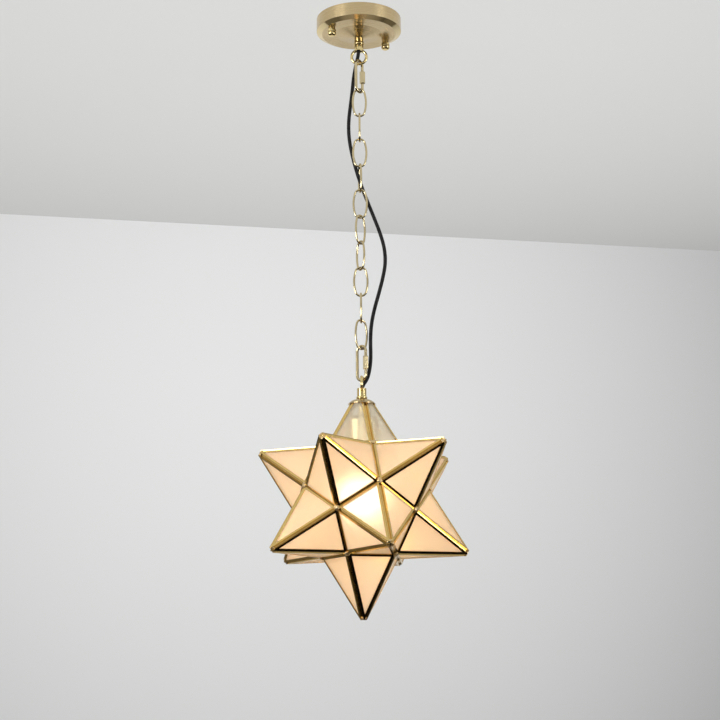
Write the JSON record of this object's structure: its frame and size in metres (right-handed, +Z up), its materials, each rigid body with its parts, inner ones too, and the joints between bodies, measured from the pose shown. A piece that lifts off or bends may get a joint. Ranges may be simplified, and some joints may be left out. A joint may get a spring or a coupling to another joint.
{
  "type": "moravian star pendant",
  "caption": "Glazed star of pentagonal brass points hung by quick links, chain and a black flex from a round brass canopy, lit from inside.",
  "frame": {"origin": "centre of the canopy in the ceiling plane, which is the fixing bracket's upper face", "axes": "+Z up out of the ceiling face along the pendant's length, +X to the right as seen from the front, +Y away from the front"},
  "size_m": [0.2758, 0.2686, 0.8339],
  "materials": {
    "satin_brass": "brushed",
    "polished_brass": "polished",
    "chain_brass": "satin",
    "came_brass": "satin, aged",
    "frosted_glass": "frosted, warm white",
    "zinc_steel": "zinc plated",
    "terminal_plastic": "matt",
    "black_flex": "satin",
    "holder_metal": "satin",
    "porcelain": "glazed",
    "bulb_aluminium": "satin",
    "bulb_glass": "frosted"
  },
  "bodies": {
    "canopy": {"mounting_bracket": "zinc_steel", "canopy_studs": "zinc_steel", "terminal_block": "terminal_plastic", "canopy": "satin_brass", "canopy_stem": "polished_brass", "canopy_loop_nut": "polished_brass", "canopy_loop": "polished_brass", "supply_cord": "black_flex"},
    "cap_nut_left": {"cap_nut_left": "polished_brass"},
    "cap_nut_right": {"cap_nut_right": "polished_brass"},
    "quick_link_top": {"quick_link_top": "chain_brass"},
    "quick_link_top_sleeve": {"quick_link_top_sleeve": "chain_brass"},
    "chain_link_01": {"chain_link_01": "chain_brass"},
    "chain_link_02": {"chain_link_02": "chain_brass"},
    "chain_link_03": {"chain_link_03": "chain_brass"},
    "chain_link_04": {"chain_link_04": "chain_brass"},
    "chain_link_05": {"chain_link_05": "chain_brass"},
    "chain_link_06": {"chain_link_06": "chain_brass"},
    "chain_link_07": {"chain_link_07": "chain_brass"},
    "chain_link_08": {"chain_link_08": "chain_brass"},
    "chain_link_09": {"chain_link_09": "chain_brass"},
    "chain_link_10": {"chain_link_10": "chain_brass"},
    "quick_link_bottom": {"quick_link_bottom": "chain_brass"},
    "quick_link_bottom_sleeve": {"quick_link_bottom_sleeve": "chain_brass"},
    "star": {"star_loop": "polished_brass", "star_cap": "satin_brass", "star_stem": "polished_brass", "stem_nuts": "polished_brass", "socket_cup": "holder_metal", "socket_insert": "porcelain", "socket_shell": "polished_brass", "point_frame_top": "came_brass", "point_frame_bottom": "came_brass", "point_frame_upper_0": "came_brass", "point_frame_upper_1": "came_brass", "point_frame_upper_3": "came_brass", "point_frame_upper_4": "came_brass", "point_frame_lower_0": "came_brass", "point_frame_lower_1": "came_brass", "point_frame_lower_2": "came_brass", "point_frame_lower_3": "came_brass", "point_frame_lower_4": "came_brass", "point_panes_top": "frosted_glass", "point_panes_bottom": "frosted_glass", "point_panes_upper_0": "frosted_glass", "point_panes_upper_1": "frosted_glass", "point_panes_upper_3": "frosted_glass", "point_panes_upper_4": "frosted_glass", "point_panes_lower_0": "frosted_glass", "point_panes_lower_1": "frosted_glass", "point_panes_lower_2": "frosted_glass", "point_panes_lower_3": "frosted_glass", "point_panes_lower_4": "frosted_glass", "door_hinge_leaf_fixed": "polished_brass", "door_hinge_pin": "polished_brass"},
    "star_door": {"point_frame_door": "came_brass", "point_panes_door": "frosted_glass", "door_hinge_leaf_door": "polished_brass"},
    "bulb": {"bulb_base": "bulb_aluminium", "bulb_globe": "bulb_glass"}
  },
  "joints": [
    {"name": "cap_nut_left_turn", "type": "hinge", "parent": "canopy", "child": "cap_nut_left", "pos_m": [-0.03749, -0.02388, -0.025], "axis": [0, 0, 1], "continuous": true},
    {"name": "cap_nut_right_turn", "type": "hinge", "parent": "canopy", "child": "cap_nut_right", "pos_m": [0.03749, 0.02388, -0.025], "axis": [0, 0, 1], "continuous": true},
    {"name": "quick_link_top_swing", "type": "hinge", "parent": "canopy", "child": "quick_link_top", "pos_m": [0, 0, -0.06585], "axis": [1, 0, 0], "range_deg": [-15, 15], "deforming": ["supply_cord"]},
    {"name": "quick_link_top_sleeve_lift", "type": "slide", "parent": "quick_link_top", "child": "quick_link_top_sleeve", "axis": [0, 0, 1], "range_m": [0, 0.007]},
    {"name": "chain_link_01_swing", "type": "hinge", "parent": "quick_link_top", "child": "chain_link_01", "pos_m": [0, 0, -0.10755], "axis": [0.6428, 0.766, 0], "range_deg": [-15, 15], "deforming": ["supply_cord"]},
    {"name": "chain_link_02_swing", "type": "hinge", "parent": "chain_link_01", "child": "chain_link_02", "pos_m": [0, 0, -0.14328], "axis": [1, 0, 0], "range_deg": [-15, 15], "deforming": ["supply_cord"]},
    {"name": "chain_link_03_swing", "type": "hinge", "parent": "chain_link_02", "child": "chain_link_03", "pos_m": [0, 0, -0.18008], "axis": [0, 1, 0], "range_deg": [-15, 15], "deforming": ["supply_cord"]},
    {"name": "chain_link_04_swing", "type": "hinge", "parent": "chain_link_03", "child": "chain_link_04", "pos_m": [0, 0, -0.21688], "axis": [1, 0, 0], "range_deg": [-15, 15], "deforming": ["supply_cord"]},
    {"name": "chain_link_05_swing", "type": "hinge", "parent": "chain_link_04", "child": "chain_link_05", "pos_m": [0, 0, -0.25367], "axis": [0.1736, -0.9848, 0], "range_deg": [-15, 15], "deforming": ["supply_cord"]},
    {"name": "chain_link_06_swing", "type": "hinge", "parent": "chain_link_05", "child": "chain_link_06", "pos_m": [0, 0, -0.29047], "axis": [1, 0, 0], "range_deg": [-15, 15], "deforming": ["supply_cord"]},
    {"name": "chain_link_07_swing", "type": "hinge", "parent": "chain_link_06", "child": "chain_link_07", "pos_m": [0, 0, -0.32727], "axis": [0.6691, 0.7431, 0], "range_deg": [-15, 15], "deforming": ["supply_cord"]},
    {"name": "chain_link_08_swing", "type": "hinge", "parent": "chain_link_07", "child": "chain_link_08", "pos_m": [0, 0, -0.36407], "axis": [0.5446, -0.8387, 0], "range_deg": [-15, 15], "deforming": ["supply_cord"]},
    {"name": "chain_link_09_swing", "type": "hinge", "parent": "chain_link_08", "child": "chain_link_09", "pos_m": [0, 0, -0.40087], "axis": [1, 0, 0], "range_deg": [-15, 15], "deforming": ["supply_cord"]},
    {"name": "chain_link_10_swing", "type": "hinge", "parent": "chain_link_09", "child": "chain_link_10", "pos_m": [0, 0, -0.43767], "axis": [0, 1, 0], "range_deg": [-15, 15], "deforming": ["supply_cord"]},
    {"name": "quick_link_bottom_swing", "type": "hinge", "parent": "chain_link_10", "child": "quick_link_bottom", "pos_m": [0, 0, -0.47447], "axis": [0.829, 0.5592, 0], "range_deg": [-15, 15], "deforming": ["supply_cord"]},
    {"name": "star_swing", "type": "hinge", "parent": "quick_link_bottom", "child": "star", "pos_m": [0, 0, -0.51725], "axis": [0.829, -0.5592, 0], "range_deg": [-15, 15], "deforming": ["supply_cord"]},
    {"name": "quick_link_bottom_sleeve_lift", "type": "slide", "parent": "quick_link_bottom", "child": "quick_link_bottom_sleeve", "axis": [0, 0, 1], "range_m": [0, 0.007]},
    {"name": "star_door_hinge", "type": "hinge", "parent": "star", "child": "star_door", "pos_m": [-0.01137, 0.04464, -0.60691], "axis": [0.9691, 0.2468, 0], "range_deg": [0, 100]},
    {"name": "bulb_turn", "type": "hinge", "parent": "star", "child": "bulb", "pos_m": [0, 0, -0.60645], "axis": [0, 0, 1], "continuous": true}
  ]
}
